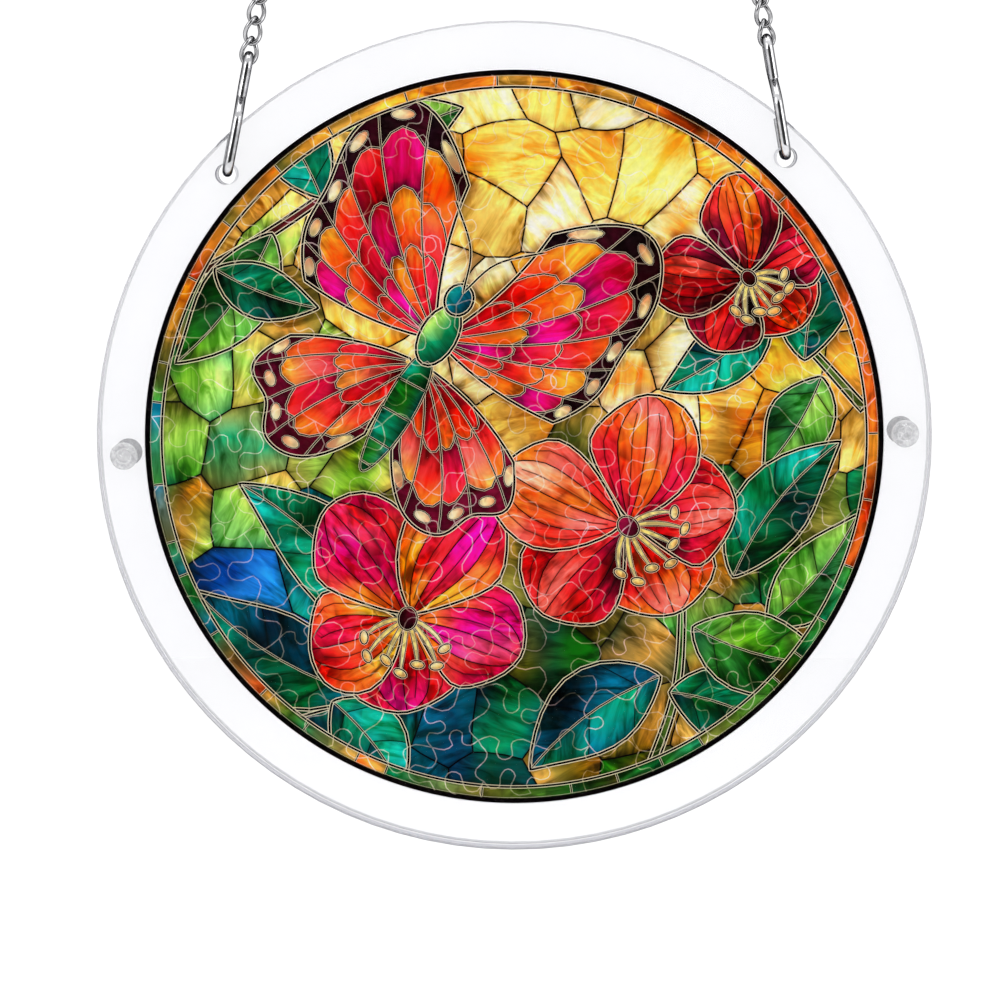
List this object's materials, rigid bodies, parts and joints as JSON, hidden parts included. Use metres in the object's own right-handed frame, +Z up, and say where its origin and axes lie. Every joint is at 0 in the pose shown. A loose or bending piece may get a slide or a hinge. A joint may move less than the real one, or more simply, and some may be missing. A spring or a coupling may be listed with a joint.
{
  "type": "acrylic suncatcher",
  "caption": "Round hanging acrylic suncatcher: a stained-glass style jigsaw picture held between clear plates by clear rivets, hung by wire hooks and short chains.",
  "frame": {"origin": "midway between the two end rings, at the points inside their tops where they hang", "axes": "+Z up, against the pull of the weight; -Y out of the picture's face; +X to the right of someone who looks at the picture"},
  "size_m": [0.1999, 0.0134, 0.2246],
  "materials": {
    "clear_acrylic": "clear, polished",
    "printed_acrylic": "printed in stained-glass colours, satin gloss, cut as a jigsaw",
    "rivet_plastic": "clear moulded plastic",
    "polished_steel": "polished wire"
  },
  "bodies": {
    "root": {"front_plate": "clear_acrylic", "back_plate": "clear_acrylic", "spacer_ring": "clear_acrylic", "jigsaw_picture": "printed_acrylic", "rivet_left": "rivet_plastic", "hook_left": "polished_steel", "chain_link_left_1": "polished_steel", "chain_link_left_2": "polished_steel", "chain_link_left_3": "polished_steel", "chain_link_left_4": "polished_steel", "chain_link_left_5": "polished_steel", "end_ring_left": "polished_steel", "rivet_right": "rivet_plastic", "hook_right": "polished_steel", "chain_link_right_1": "polished_steel", "chain_link_right_2": "polished_steel", "chain_link_right_3": "polished_steel", "chain_link_right_4": "polished_steel", "end_ring_right": "polished_steel"}
  },
  "joints": []
}
